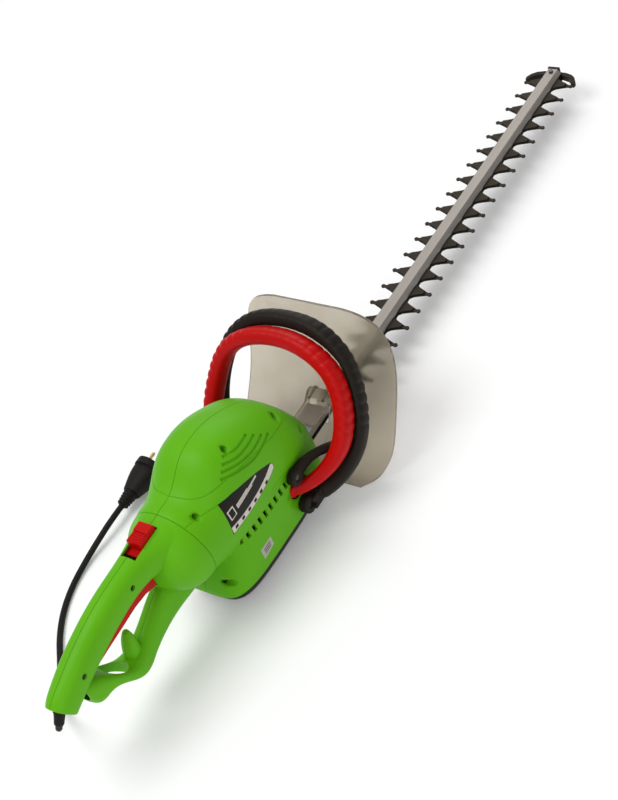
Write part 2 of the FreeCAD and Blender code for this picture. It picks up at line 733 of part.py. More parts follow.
def blade_bar():
    """The aluminium bar above the blades, with sloping sides."""
    body = doc.addObject("PartDesign::Body", "blade_bar_body")
    base = size("bar_base") / 2
    top = size("bar_top") / 2
    high = size("bar_height")
    end = new_sketch(body, "bar_section", "YZ_Plane")
    draw_polygon(end, [(-base, 0), (base, 0), (base, 1.2), (top, high), (-top, high), (-base, 1.2)])
    pad(body, "bar_pad", end, "Sizes.bar_end - Sizes.bar_start")
    doc.recompute()
    start = size("bar_start")
    bolt_holes = new_sketch(body, "bar_bolt_holes")
    for x in bolt_places():
        draw_circle(bolt_holes, size("bolt_radius") + 0.02, x - start, 0)
    blind = body.newObject("PartDesign::Pocket", "bar_tapped")
    blind.Profile = bolt_holes
    blind.Length = BOLT_DEPTH + 0.1
    blind.Reversed = True
    doc.recompute()
    holes = new_sketch(body, "bar_screw_holes")
    for x in (*BRACKET_SCREWS, TIP_SCREW_X):
        draw_circle(holes, 2, x - start, 0)
    drill = body.newObject("PartDesign::Pocket", "bar_drilled")
    drill.Profile = holes
    drill.Type = 1
    drill.Midplane = True
    body.Placement = place(size("bar_start"), 0, BAR_LOW)
    body.Tip = drill
    return subpart(body, "blade_bar")


def blade_fasteners():
    """Hex bolts from below into the bar, and the bushes that the cutter slides along."""
    bolts = []
    bushes = []
    low = COMB_TOP - THICK
    for i, x in enumerate(bolt_places()):
        shank = rod(f"bolt_shank_{i}", "Sizes.bolt_radius", f"{BAR_LOW + BOLT_DEPTH - low + 1}",
                    (x, 0, low - 1))
        head = doc.addObject("Part::Prism", f"bolt_head_{i}")
        head.Polygon = 6
        head.Circumradius = 4.6
        head.Height = 3
        head.Placement = place(x, 0, low - 3)
        bolts.append(join(f"bolt_{i}", shank, head))
        bush = rod(f"bush_outer_{i}", "Sizes.bolt_radius + 0.5", "Sizes.blade_thickness", (x, 0, CUTTER_LOW))
        bore = rod(f"bush_bore_{i}", "Sizes.bolt_radius", "Sizes.blade_thickness", (x, 0, CUTTER_LOW))
        bushes.append(cut(f"bush_{i}", bush, bore))
    subpart(bundle("bolt_row", *bolts), "blade_bolts")
    subpart(bundle("bush_row", *bushes), "blade_bushes")


def tip_guard():
    """The blunt nose with two swept-back wings, screwed to the end of the fixed blade."""
    body = doc.addObject("PartDesign::Body", "tip_guard_body")
    plan = new_sketch(body, "tip_plan")
    right = [(850, 9), (849.5, 17), (846.5, 27), (841, 34), (834, 38), (829, 37.5), (829, 33.5),
             (834, 31.5), (839.5, 25), (843, 13), (834, 12.5)]
    left = [(x, -y) for x, y in reversed(right)]
    draw_polygon(plan, right + left)
    pad(body, "tip_pad", plan, "8.05")
    body.Placement = place(0, 0, BAR_LOW - 8.1)
    rim = block("tip_rim", "3.9", "17", "9", (size("bar_end") + 0.1, 0, BAR_LOW - 0.5))
    slot = block("tip_slot", "32", "Sizes.comb_half_width * 2 + 2.6", "12",
                 (size("comb_end") - 32, 0, COMB_TOP - 2 * THICK - 0.3))
    end_room = block("tip_end_room", "10", "30", "10", (size("bar_end") - 9.95, 0, BAR_LOW - 0.05))
    screw_hole = rod("tip_screw_hole", "2", "30", (TIP_SCREW_X, 0, BLADE - 10))
    solid = join("tip_solid", cut("tip_slotted", body, slot), rim)
    subpart(cut("tip_bored", solid, end_room, screw_hole), "tip_guard")
    top = BAR_LOW + size("bar_height")
    subpart(screw("tip_screw_solid", TIP_SCREW_X, 0, top, "-Z", 15, 3, 2), "tip_screw")


# ---------------------------------------------------------------- front handle, switch bar and guard

# half of each bar's centre line, from the top middle down to the foot
BLACK_PATH = [(204, 0, 189), (200, 40, 186), (188, 76, 165), (165, 97, 128), (138, 101, 88),
              (113, 89, 60), (84, 68, 45)]
RED_PATH = [(179, 0, 185.5), (175, 37, 182.5), (164, 74, 162.5), (142, 92, 126.5), (116, 93, 97),
            (93, 80, 77.5), (75, 66, 70), (62, 52, 69)]
LEG_SCALE = 0.72             # the red bar's legs are thinner than its grip
ARM_PATH = [(60, 61, 92), (84, 62, 94), (106, 70, 92), (126, 85, 87), (140, 98, 88)]
BAR_SWING = 2.5


def across_top(half):
    """The whole path of a bar from its half: down one side, over the top, down the other."""
    return [(x, -y, z) for x, y, z in half[:0:-1]] + half


def bar_along(path, depth, thick, stations, power=2.6, leg_scale=1.0):
    """A rounded bar along a path, its depth kept square to the plane of the handles."""
    spine = Part.BSplineCurve()
    spine.interpolate([V(*p) for p in path])
    first = spine.FirstParameter
    last = spine.LastParameter
    facing = V(-0.87, 0, 0.49)
    wires = []
    for i in range(stations):
        at = first + (last - first) * i / (stations - 1)
        point = spine.value(at)
        tangent = spine.tangent(at)[0]
        across = tangent.cross(facing).normalize()
        ahead = across.cross(tangent).normalize()
        scale = leg_scale + (1 - leg_scale) * min(1, 5 * min(i, stations - 1 - i) / (stations - 1))
        points = []
        for k in range(16):
            turn = 2 * math.pi * k / 16
            a = scale * thick / 2 * rounding(math.cos(turn), power)
            b = scale * depth / 2 * rounding(math.sin(turn), power)
            points.append(point + across * a + ahead * b)
        wires.append(closed_curve(points))
    return loft(wires)


def foot():
    """Two lobes against the housing: the lower ends the bar, an arm inside the red bar holds the upper."""
    upper = Part.makeCylinder(11, 12, V(FOOT_X, 54, 92), V(0, 1, 0))
    lower = Part.makeCylinder(12, 12, V(FOOT_X, 54, 44), V(0, 1, 0))
    heel = slab(FOOT_X, 88, 57, 71, 36, 54)
    arm = bar_along(ARM_PATH, 17, 11, 9)
    return upper.fuse([lower, heel, arm])


def front_handle():
    """The black handle: a bar, and a foot each side that is screwed to the housing."""
    handle = bar_along(across_top(BLACK_PATH), 23, 20, 25)
    left_foot = foot()
    shape = handle.fuse([left_foot, left_foot.mirror(V(), V(0, 1, 0))])
    clear = [slab(-80, 140, -55.1, 55.1, 20, 94), slab(-80, 140, -57, 57, 94, 210)]
    for side in (-1, 1):
        clear.append(Part.makeCylinder(13, 60, V(PIVOT[0], side * 60 - 30, PIVOT[1]), V(0, 1, 0)))
        for z in FOOT_LEVELS:
            clear.append(cylinder(2.1, 40, (FOOT_X, side * 62 - 20, z), (0, 1, 0)))
            clear.append(cylinder(4, 12, (FOOT_X, side * 68 - 6, z), (0, 1, 0)))
    bar = bar_along(across_top(RED_PATH), 26.2, 22.2, 25, leg_scale=LEG_SCALE)
    moved = bar.copy()
    moved.rotate(V(PIVOT[0], 0, PIVOT[1]), V(0, 1, 0), BAR_SWING)
    fixed_shape("front_handle", shape.cut(clear + [bar, moved]))
    group = [screw(f"foot_screw_{side}_{z}", FOOT_X, side * 62, z, "-Y" if side > 0 else "Y", 16, 3.6, 1.65)
             for side in (-1, 1) for z in FOOT_LEVELS]
    subpart(bundle("foot_screw_set", *group), "foot_screws")


def switch_bar():
    """The red bar behind the front handle: both hands must hold the machine before it runs."""
    bar = bar_along(across_top(RED_PATH), 25, 21, 25, leg_scale=LEG_SCALE)
    ends = []
    for side in (-1, 1):
        ends.append(Part.makeCylinder(8, 13, V(PIVOT[0], side * 49 - 6.5, PIVOT[1]), V(0, 1, 0)))
        ends.append(Part.makeCylinder(PIVOT_R, 8, V(PIVOT[0], side * 42 - 4, PIVOT[1]), V(0, 1, 0)))
    return fixed_shape("switch_bar", bar.fuse(ends))


# the guard's rear face seen from the side, and half of its outline seen from the front
GUARD_SIDE = [(128, 0.5), (146, 6), (172, 30), (194, 56), (214, 84), (230, 118), (238, 150), (240, 181)]
GUARD_SCREW_Z = 65
GUARD_HALF = [(0, 181), (58, 179), (88, 165), (103, 136), (107, 92), (109, 48), (108, 22), (98, 6),
              (80, 0.5), (0, 0.5)]


def hand_guard():
    curve = Part.BSplineCurve()
    curve.interpolate([V(x, 0, z) for x, z in GUARD_SIDE])
    front = Part.BSplineCurve()
    front.interpolate([V(x + 3.1, 0, z - 0.5 if z > 10 else z) for x, z in GUARD_SIDE])
    top = Part.LineSegment(curve.EndPoint, front.EndPoint).toShape()
    low = Part.LineSegment(curve.StartPoint, front.StartPoint).toShape()
    side = Part.Face(Part.Wire([curve.toShape(), top, front.toShape(), low]))
    side.translate(V(0, -130, 0))
    sheet_shape = side.extrude(V(0, 260, 0))
    half = GUARD_HALF
    other = [(-y, z) for y, z in half[-2:0:-1]]
    outline = Part.BSplineCurve()
    outline.interpolate([V(0, y, z) for y, z in half[:-1] + other], PeriodicFlag=True)
    blank = Part.Face(Part.Wire([outline.toShape()])).extrude(V(400, 0, 0))
    guard = sheet_shape.common(blank)
    guard = guard.cut(slab(150, 230, -15, 15, 37, 58.5))
    holes = [cylinder(2.1, 60, (180, y, GUARD_SCREW_Z), (1, 0, 0)) for y in (-10, 10)]
    return guard.cut(holes)


def guard_and_bracket():
    guard = hand_guard()
    fixed_shape("hand_guard", guard)
    top = BAR_LOW + size("bar_height")
    plate = block("bracket_plate", "96", "26", "4.5", (92, 0, top + 0.05))
    riser = block("bracket_riser", "4", "40", "17", (92, 0, top + 0.05))
    holes = [rod(f"bracket_hole_{x}", "2.1", "20", (x, 0, top - 5)) for x in BRACKET_SCREWS]
    subpart(cut("bracket_cut", join("bracket_solid", plate, riser), *holes), "blade_bracket")
    group = [screw(f"bracket_screw_{x}", x, 0, top + 4.55, "-Z", 10, 3.6, 1.9) for x in BRACKET_SCREWS]
    subpart(bundle("bracket_screw_set", *group), "bracket_screws")
    side = [(156, 56.7), (194.5, 56.7), (205, 70), (197, 70), (186, 61), (156, 61)]
    wedge = Part.Face(Part.makePolygon([V(x, -16, z) for x, z in side + side[:1]])).extrude(V(0, 32, 0))
    rear_part = min(wedge.cut(guard).Solids, key=lambda solid: solid.CenterOfMass.x)
    bores = [cylinder(1.7, 30, (178, y, GUARD_SCREW_Z), (1, 0, 0)) for y in (-10, 10)]
    fixed_shape("guard_mount", rear_part.cut(bores))
    group = [screw(f"guard_screw_{y}", 206.6, y, GUARD_SCREW_Z, "-X", 16, 3.2, 1.6) for y in (-10, 10)]
    subpart(bundle("guard_screw_set", *group), "guard_screws")


# ---------------------------------------------------------------- parts inside the rear handle

def swivel_ring():
    """The spool that the handle turns on: one flange each side of the housing's rear wall."""
    journal = rod("swivel_journal", "35.93", "8", (-82, 0, SWIVEL_Z), "X")
    inner = rod("swivel_inner_flange", "41", "3", (-73.5, 0, SWIVEL_Z), "X")
    outer = rod("swivel_outer_flange", "48.7", "3.5", (-82.3, 0, SWIVEL_Z), "X")
    neck = rod("swivel_neck", "35.93", "6", (-79, 0, SWIVEL_Z), "X")
    bore = rod("swivel_bore", "30", "40", (-100, 0, SWIVEL_Z), "X")
    subpart(cut("swivel_cut", join("swivel_solid", journal, neck, inner, outer), bore), "swivel_ring")


def trigger():
    body = doc.addObject("PartDesign::Body", "trigger_body")
    side = new_sketch(body, "trigger_side", "XZ_Plane")
    draw_polygon(side, [(-252, 123), (-238, 117.5), (-215, 119.5), (-190, 121), (-164, 123),
                        (-145, 121.5), (-131, 116.5), (-124.5, 119.5), (-124.5, 133), (-131, 137),
                        (-160, 135), (-200, 132), (-240, 133), (-255, 132)])
    plate = body.newObject("PartDesign::Pad", "trigger_pad")
    plate.Profile = side
    plate.Length = 14
    plate.Midplane = True
    doc.recompute()
    pin = new_sketch(body, "trigger_pin_hole", "XZ_Plane")
    draw_circle(pin, size("trigger_pin") + 0.05, PIVOT_X, PIVOT_Z)
    hole = body.newObject("PartDesign::Pocket", "trigger_hole")
    hole.Profile = pin
    hole.Type = 1
    hole.Midplane = True
    body.Tip = hole
    subpart(body, "trigger")
    subpart(rod("trigger_pin_rod", "Sizes.trigger_pin", "25", (PIVOT_X, -12.5, PIVOT_Z), "Y"), "trigger_pin")


def helix_spring(label, at, axis, radius, pitch, height, wire):
    path = Part.makeHelix(pitch, height, radius)
    section = Part.Wire([Part.Circle(V(radius, 0, 0), V(0, 1, 0), wire).toShape()])
    coil = Part.Wire(path).makePipeShell([section], True, True)
    feature = doc.addObject("Part::Feature", label)
    feature.Shape = coil
    feature.Placement = place(*at, along=axis)
    return subpart(feature, label)


def switches():
    case = block("switch_case", "34", "13", "17", (-208, 0, 140))
    plunger = block("switch_plunger", "6", "5", "5", (-196, 0, 135.6))
    tags = [block(f"switch_tag_{i}", "7", "1", "5", (-174.5, y, 144)) for i, y in enumerate((-4, 4))]
    subpart(join("switch_solid", case, plunger, *tags), "switch_module")
    bar_case = block("bar_switch_case", "20", "9", "11", (52, 36, CASE_HIGH + 4))
    bar_lever = block("bar_switch_lever", "6", "3", "3", (58, 42, CASE_HIGH + 5))
    subpart(join("bar_switch_solid", bar_case, bar_lever), "bar_switch")
    subpart(rod("capacitor_can", "6.5", "26", (-14, -28, CASE_HIGH + 10.5), "X"), "capacitor")


def lock_slider():
    plate = block("slider_plate", "33", "24", "3", (-129, 0, 162.8))
    stem = block("slider_stem", "26", "19", "14", (-121, 0, 165))
    ramp = block("slider_ramp", "12", "19", "2.2", (-107, 0, 178.5))
    ridges = [block(f"slider_ridge_{i}", "1.4", "17", "1.2", (-119 + 3 * i, 0, 178.6)) for i in range(4)]
    subpart(join("slider_solid", plate, stem, ramp, *ridges), "lock_slider")


# ---------------------------------------------------------------- cord and plug

CORD_ROUTE = [CORD_START, (-312.9, 0, 97.9), (-294, 27, 77), (-281, 55, 45), (-270, 78, 20.5),
              (-254, 101, 6.5), (-236, 117, 4.2), (-211, 137, 4), (-184, 161, 4), (-152, 181, 4),
              (-117, 194, 4.2), (-80, 199, 6), (-50, 197, 12.5), (-24, 195, 17.5), (0, 195, 17.5)]


def cord_tube(route, radius):
    """Straight runs joined by tangent arcs, each arc as large as its two runs allow."""
    points = [V(*p) for p in route]
    edges = []
    start = points[0]
    for before, corner, after in zip(points, points[1:], points[2:]):
        back = before - corner
        ahead = after - corner
        turn = math.pi - back.getAngle(ahead)
        reach = 0.45 * min(back.Length, ahead.Length)
        bend = reach / math.tan(turn / 2)
        into = corner + back.normalize() * reach
        out = corner + ahead.normalize() * reach
        inward = (into + out - corner * 2).normalize()
        middle = corner + inward * (bend / math.cos(turn / 2) - bend)
        edges.append(Part.LineSegment(start, into).toShape())
        edges.append(Part.Arc(into, middle, out).toShape())
        start = out
    edges.append(Part.LineSegment(start, points[-1]).toShape())
    spine = Part.Wire(edges)
    section = Part.Wire([Part.Circle(points[0], points[1] - points[0], radius).toShape()])
    tube = spine.makePipeShell([section], True, True)
    expected = math.pi * radius ** 2 * spine.Length
    print("cord length", round(spine.Length, 1), "volume ratio", round(tube.Volume / expected, 4))
    return tube


def cord_and_plug():
    cord = cord_tube(CORD_ROUTE, size("cord_radius"))
    fixed_shape("mains_cord", cord)
    out = V(*CORD_OUT)
    inside = V(*CORD_START) + out * 7
    sleeve = Part.makeCylinder(RELIEF_R - 0.1, 13, inside, out)
    taper = Part.makeCone(6.4, 5.4, 12, inside + out * 13, out)
    lip = Part.makeSphere(5.6, inside + out * 24)
    fixed_shape("strain_relief", sleeve.fuse([taper, lip]).cut(cord))
    end = CORD_ROUTE[-1]
    boot = Part.makeCone(6, 8.5, 22, V(*end), V(1, 0, 0))
    grip = cross_loft([(20, 11, 10), (34, 15, 13), (46, 17.5, 15), (58, 18, 15.5)], end[1], end[2])
    face = cylinder(18.5, 9, (56, end[1], end[2] + 1.1), (1, 0, 0))
    fixed_shape("mains_plug", boot.fuse([grip, face]))
    pins = [rod(f"plug_pin_{i}", "2.4", "19", (65, end[1] + off, end[2]), "X")
            for i, off in enumerate((-9.5, 9.5))]
    subpart(bundle("plug_pin_pair", *pins), "plug_pins")


def cross_loft(stations, y, z):
    wires = []
    for x, half_y, half_z in stations:
        wire = cross_section(x, half_y, z - half_z, z + half_z, 2.4)
        wire.translate(V(0, y, 0))
        wires.append(wire)
    return loft(wires)


# ---------------------------------------------------------------- screws

def screw(name, x, y, z, along, length, head=3.5, shank=1.6):
    body = rod(name + "_shank", str(shank), str(length), (x, y, z), along)
    direction = TURNS[along].multVec(V(0, 0, 1))
    at = V(x, y, z) - direction * 2.4
    top = rod(name + "_head", str(head), "2.4", (at.x, at.y, at.z), along)
    return join(name, body, top)


def screws():
    group = [screw(f"housing_screw_{i}", x, -24, z, "Y", 30, 3.4, 1.55)
             for i, (x, z) in enumerate(HOUSING_SCREWS)]
    subpart(bundle("housing_screw_set", *group), "housing_screws")
    group = [screw(f"handle_screw_{i}", x, -12, z, "Y", 20, 3.2, 1.5)
             for i, (x, z) in enumerate(HANDLE_SCREWS)]
    subpart(bundle("handle_screw_set", *group), "handle_screws")
    group = [screw(f"base_screw_{i}", x, y, 2.5, "Z", 36, 3.6, 1.8)
             for i, (x, y) in enumerate(BASE_SCREWS)]
    subpart(bundle("base_screw_set", *group), "base_screws")
    group = [screw(f"case_screw_{i}", x, y, CASE_HIGH + 4, "-Z", 20, 3.4, 1.7)
             for i, (x, y) in enumerate(CASE_SCREWS)]
    subpart(bundle("case_screw_set", *group), "case_screws")


split_housing()
split_rear_handle()
base_cover()
gear_case()
gear_train()
motor()
comb_blade()
cutter_blade()
blade_bar()
blade_fasteners()
tip_guard()
front_handle()
switch_bar()
guard_and_bracket()
swivel_ring()
trigger()
helix_spring("trigger_spring", (-150, 0, 136.6), "Z", 3.2, 3, 15, 0.5)
switches()
lock_slider()
helix_spring("lock_spring", (-129.5, 0, 164.3), "-X", 1.3, 2.2, 8.4, 0.35)
cord_and_plug()
screws()

doc.recompute()
failed = [o.Name for o in doc.Objects if "Invalid" in o.State or "Error" in o.State]
if failed:
    raise RuntimeError(f"failed objects: {failed}")
os.makedirs("parts", exist_ok=True)
for piece in subparts:
    shape = piece.Shape
    if shape.isNull() or not shape.isValid() or not shape.Solids:
        raise RuntimeError(f"bad shape: {piece.Label}")
    print(piece.Label, len(shape.Solids), round(shape.Volume))
for piece in subparts:
    piece.Shape.exportStep(f"parts/{piece.Label}.step")
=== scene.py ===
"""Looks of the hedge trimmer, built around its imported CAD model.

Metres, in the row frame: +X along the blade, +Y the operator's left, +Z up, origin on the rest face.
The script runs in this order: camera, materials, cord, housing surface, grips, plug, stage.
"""
import json
import math

import bmesh
import bpy
from mathutils import Matrix, Vector
from mathutils.bvhtree import BVHTree
from mathutils.kdtree import KDTree

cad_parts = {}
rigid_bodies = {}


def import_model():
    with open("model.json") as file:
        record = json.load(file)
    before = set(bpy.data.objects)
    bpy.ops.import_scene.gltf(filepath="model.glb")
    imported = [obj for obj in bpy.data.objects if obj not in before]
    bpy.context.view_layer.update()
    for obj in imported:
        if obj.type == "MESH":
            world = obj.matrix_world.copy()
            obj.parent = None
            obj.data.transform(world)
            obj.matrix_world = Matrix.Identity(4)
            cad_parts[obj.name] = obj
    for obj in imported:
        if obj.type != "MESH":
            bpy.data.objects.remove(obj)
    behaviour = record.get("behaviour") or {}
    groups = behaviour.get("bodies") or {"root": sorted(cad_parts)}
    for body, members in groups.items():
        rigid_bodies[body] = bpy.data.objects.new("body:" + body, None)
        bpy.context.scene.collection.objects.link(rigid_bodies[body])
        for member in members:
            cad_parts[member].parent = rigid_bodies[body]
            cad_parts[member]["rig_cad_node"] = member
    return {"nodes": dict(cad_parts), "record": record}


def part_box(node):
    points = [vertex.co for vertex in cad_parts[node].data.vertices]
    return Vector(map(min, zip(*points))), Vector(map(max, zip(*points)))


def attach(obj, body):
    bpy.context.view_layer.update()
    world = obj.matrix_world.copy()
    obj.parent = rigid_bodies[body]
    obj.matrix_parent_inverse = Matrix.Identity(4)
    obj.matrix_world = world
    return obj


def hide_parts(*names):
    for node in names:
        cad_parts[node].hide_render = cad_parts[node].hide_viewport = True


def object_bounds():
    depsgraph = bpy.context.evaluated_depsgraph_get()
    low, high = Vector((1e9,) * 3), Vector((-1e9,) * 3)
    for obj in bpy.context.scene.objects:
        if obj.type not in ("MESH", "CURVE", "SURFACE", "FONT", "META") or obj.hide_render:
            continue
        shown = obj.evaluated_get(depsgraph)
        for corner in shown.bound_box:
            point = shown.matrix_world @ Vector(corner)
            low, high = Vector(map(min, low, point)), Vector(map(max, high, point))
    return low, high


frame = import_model()
NODES = frame["nodes"]
CAD_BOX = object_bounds()


# ---------------------------------------------------------------- camera

def add_camera():
    """A telephoto view from behind, right of and above the machine."""
    right = Vector((0.5057, -0.8045, -0.3114))
    up = Vector((0.7239, 0.1994, 0.6604))
    ahead = Vector((0.4693, 0.5594, -0.6833))
    data = bpy.data.cameras.new("camera")
    data.lens = 67.5
    data.sensor_width = 36
    data.clip_end = 30
    camera = bpy.data.objects.new("camera", data)
    turn = Matrix((right, up, -ahead)).transposed()
    camera.matrix_world = Matrix.Translation((-0.6569, -0.9984, 1.2947)) @ turn.to_4x4()
    bpy.context.scene.collection.objects.link(camera)
    bpy.context.scene.camera = camera


add_camera()


# ---------------------------------------------------------------- materials

def new_material(name):
    material = bpy.data.materials.new(name)
    material.use_nodes = True
    nodes = material.node_tree.nodes
    return material, nodes, material.node_tree.links, nodes["Principled BSDF"]


def add_noise(nodes, links, scale, detail=2.0, stretch=(1, 1, 1)):
    where = nodes.new("ShaderNodeTexCoord")
    mapping = nodes.new("ShaderNodeMapping")
    mapping.inputs["Scale"].default_value = stretch
    noise = nodes.new("ShaderNodeTexNoise")
    noise.inputs["Scale"].default_value = scale
    noise.inputs["Detail"].default_value = detail
    links.new(where.outputs["Object"], mapping.inputs["Vector"])
    links.new(mapping.outputs["Vector"], noise.inputs["Vector"])
    return noise


def add_bump(nodes, links, height, shader, strength, distance):
    bump = nodes.new("ShaderNodeBump")
    bump.inputs["Strength"].default_value = strength
    bump.inputs["Distance"].default_value = distance
    links.new(height, bump.inputs["Height"])
    links.new(bump.outputs["Normal"], shader.inputs["Normal"])


def vary(nodes, links, value, low, high, target):
    """Spread a noise value between two colours or two numbers."""
    ramp = nodes.new("ShaderNodeValToRGB")
    ramp.color_ramp.elements[0].position = 0.3
    ramp.color_ramp.elements[1].position = 0.7
    ramp.color_ramp.elements[0].color = low
    ramp.color_ramp.elements[1].color = high
    links.new(value, ramp.inputs["Fac"])
    links.new(ramp.outputs["Color"], target)


def shade(color, factor):
    return tuple(min(1, c * factor) for c in color) + (1,)


def moulded(name, color, roughness, grain=1400, depth=0.00006, mottle=0.04):
    """Moulded plastic: a fine spark-eroded texture and a faint change of tone."""
    material, nodes, links, shader = new_material(name)
    tone = add_noise(nodes, links, 9)
    vary(nodes, links, tone.outputs["Fac"], shade(color, 1 - mottle), shade(color, 1 + mottle),
         shader.inputs["Base Color"])
    patch = add_noise(nodes, links, 60)
    vary(nodes, links, patch.outputs["Fac"], (roughness - 0.03,) * 3 + (1,), (roughness + 0.04,) * 3 + (1,),
         shader.inputs["Roughness"])
    fine = add_noise(nodes, links, grain, 1)
    add_bump(nodes, links, fine.outputs["Fac"], shader, 0.35, depth)
    shader.inputs["Specular IOR Level"].default_value = 0.14
    return material


def metal(name, color, roughness, stretch=(1, 1, 1), scale=300):
    """Metal with streaks along the direction whose stretch is smallest."""
    material, nodes, links, shader = new_material(name)
    shader.inputs["Metallic"].default_value = 1
    streak = add_noise(nodes, links, scale, 3, stretch)
    vary(nodes, links, streak.outputs["Fac"], shade(color, 0.85), shade(color, 1.1),
         shader.inputs["Base Color"])
    vary(nodes, links, streak.outputs["Fac"], (roughness - 0.06,) * 3 + (1,), (roughness + 0.08,) * 3 + (1,),
         shader.inputs["Roughness"])
    return material


def frosted(name):
    """Translucent guard: a milky plastic that light passes through."""
    material, nodes, links, shader = new_material(name)
    tone = add_noise(nodes, links, 25)
    vary(nodes, links, tone.outputs["Fac"], (0.60, 0.54, 0.44, 1), (0.66, 0.60, 0.50, 1),
         shader.inputs["Base Color"])
    shader.inputs["Roughness"].default_value = 0.2
    shader.inputs["Transmission Weight"].default_value = 0.85
    shader.inputs["IOR"].default_value = 1.3
    fine = add_noise(nodes, links, 900, 1)
    add_bump(nodes, links, fine.outputs["Fac"], shader, 0.3, 0.0001)
    return material


# base colours in linear light
GREEN = (0.106, 0.405, 0.003)
RED = (0.46, 0.0006, 0.0006)
BLACK = (0.012, 0.0085, 0.0055)
MATERIALS = {
    "green_plastic": moulded("green plastic", GREEN, 0.42),
    "black_plastic": moulded("black plastic", BLACK, 0.5),
    "red_plastic": moulded("red plastic", RED, 0.4),
    "frosted_plastic": frosted("frosted plastic"),
    "bar_aluminium": metal("bar aluminium", (0.31, 0.285, 0.26), 0.5, (0.02, 1, 1)),
    "blade_steel": metal("blade steel", (0.035, 0.029, 0.022), 0.5, (1, 0.1, 1)),
    "cast_metal": metal("cast metal", (0.42, 0.42, 0.43), 0.55),
    "gear_steel": metal("gear steel", (0.45, 0.45, 0.46), 0.3),
    # screw steel: the screws' own steel tone, made darker as painted shade of the recessed screw holes
    "screw_steel": metal("screw steel", (0.10, 0.10, 0.10), 0.4),
    "lamination": metal("lamination", (0.3, 0.3, 0.32), 0.5, (1, 1, 8)),
    "copper": metal("copper wire", (0.72, 0.33, 0.16), 0.35),
    "carbon": moulded("carbon", (0.02, 0.02, 0.02), 0.6),
    "cord_rubber": moulded("cord rubber", (0.012, 0.010, 0.009), 0.55, 500),
    "pin_brass": metal("pin brass", (0.80, 0.62, 0.3), 0.25),
    "inner_plastic": moulded("inner plastic", (0.45, 0.45, 0.42), 0.5),
    "label_black": moulded("label black", (0.012, 0.010, 0.009), 0.35),
    "label_white": moulded("label white", (0.62, 0.58, 0.52), 0.35),
    "label_silver": moulded("label silver", (0.42, 0.40, 0.36), 0.35),
}
SLOTS = {part["node"]: part["material_slot"] for part in frame["record"]["subparts"]}


def paint(obj, slot):
    obj.data.materials.clear()
    obj.data.materials.append(MATERIALS[slot])
    return obj


for node, cad in NODES.items():
    paint(cad, SLOTS[node])


# ---------------------------------------------------------------- cord

MM = 0.001
CORD_DIAMETER = 7.6 * MM
CORD_ROUTE = [
    (-285, 0, 132), (-312.9, 0, 97.9), (-294, 27, 77), (-281, 55, 45), (-270, 78, 20.5),
    (-254, 101, 6.5), (-236, 117, 4.2), (-211, 137, 4), (-184, 161, 4), (-152, 181, 4),
    (-117, 194, 4.2), (-80, 199, 6), (-50, 197, 12.5), (-24, 195, 17.5), (0, 195, 17.5),
]


def add_cord():
    curve = bpy.data.curves.new("mains cord", "CURVE")
    curve.dimensions = "3D"
    curve.bevel_depth = CORD_DIAMETER / 2
    curve.bevel_resolution = 6
    curve.use_fill_caps = True
    spline = curve.splines.new("NURBS")
    spline.points.add(len(CORD_ROUTE) - 1)
    for point, place in zip(spline.points, CORD_ROUTE):
        point.co = (*(MM * v for v in place), 1)
    spline.order_u = 3
    spline.use_endpoint_u = True
    spline.resolution_u = 8
    cord = bpy.data.objects.new("cord", curve)
    bpy.context.scene.collection.objects.link(cord)
    paint(cord, "cord_rubber")
    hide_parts("mains_cord")
    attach(cord, "rear_handle")


add_cord()


# ---------------------------------------------------------------- shapes that follow the CAD surfaces

def surface_tree(*names):
    """Search tree over the CAD surfaces of these nodes."""
    places = []
    faces = []
    for name in names:
        mesh = NODES[name].data
        start = len(places)
        places.extend(v.co.copy() for v in mesh.vertices)
        faces.extend([start + i for i in polygon.vertices] for polygon in mesh.polygons)
    return BVHTree.FromPolygons(places, faces)


def on_side(tree, x, z, side):
    """The outermost surface point at this x and z, on the side +1 (left) or -1 (right), in mm."""
    start = Vector((x * MM, side * 0.2, z * MM))
    place, normal, _, _ = tree.ray_cast(start, Vector((0, -side, 0)))
    if place is None:
        raise ValueError(f"nothing at x {x}, z {z}")
    return place, normal


def spline_points(points, steps=6):
    """Catmull-Rom points through a few given ones."""
    padded = [points[0], *points, points[-1]]
    found = []
    for stretch in zip(padded, padded[1:], padded[2:], padded[3:]):
        for i in range(steps):
            t = i / steps
            weights = (-t + 2 * t ** 2 - t ** 3, 2 - 5 * t ** 2 + 3 * t ** 3,
                       t + 4 * t ** 2 - 3 * t ** 3, t ** 3 - t ** 2)
            found.append(tuple(sum(w * value for w, value in zip(weights, values)) / 2
                               for values in zip(*stretch)))
    found.append(tuple(points[-1]))
    return found


def mesh_object(name, bm, slot, body):
    mesh = bpy.data.meshes.new(name)
    bmesh.ops.recalc_face_normals(bm, faces=bm.faces)
    bm.to_mesh(mesh)
    bm.free()
    obj = bpy.data.objects.new(name, mesh)
    bpy.context.scene.collection.objects.link(obj)
    paint(obj, slot)
    if body:
        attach(obj, body)
    return obj


def sweep(name, path, radius, slot, body, sides=8, flatten=1.0):
    """A round bar along points in metres, with closed ends."""
    bm = bmesh.new()
    rings = []
    for i, place in enumerate(path):
        ahead = (path[min(i + 1, len(path) - 1)] - path[max(i - 1, 0)]).normalized()
        across = (across - ahead * across.dot(ahead) if rings else ahead.orthogonal()).normalized()
        up = ahead.cross(across)
        ring = []
        for k in range(sides):
            turn = 2 * math.pi * k / sides
            offset = across * math.cos(turn) * radius + up * math.sin(turn) * radius * flatten
            ring.append(bm.verts.new(place + offset))
        rings.append(ring)
    for first, second in zip(rings, rings[1:]):
        for k in range(sides):
            bm.faces.new((first[k - 1], first[k], second[k], second[k - 1]))
    bm.faces.new(rings[0][::-1])
    bm.faces.new(rings[-1])
    return mesh_object(name, bm, slot, body)


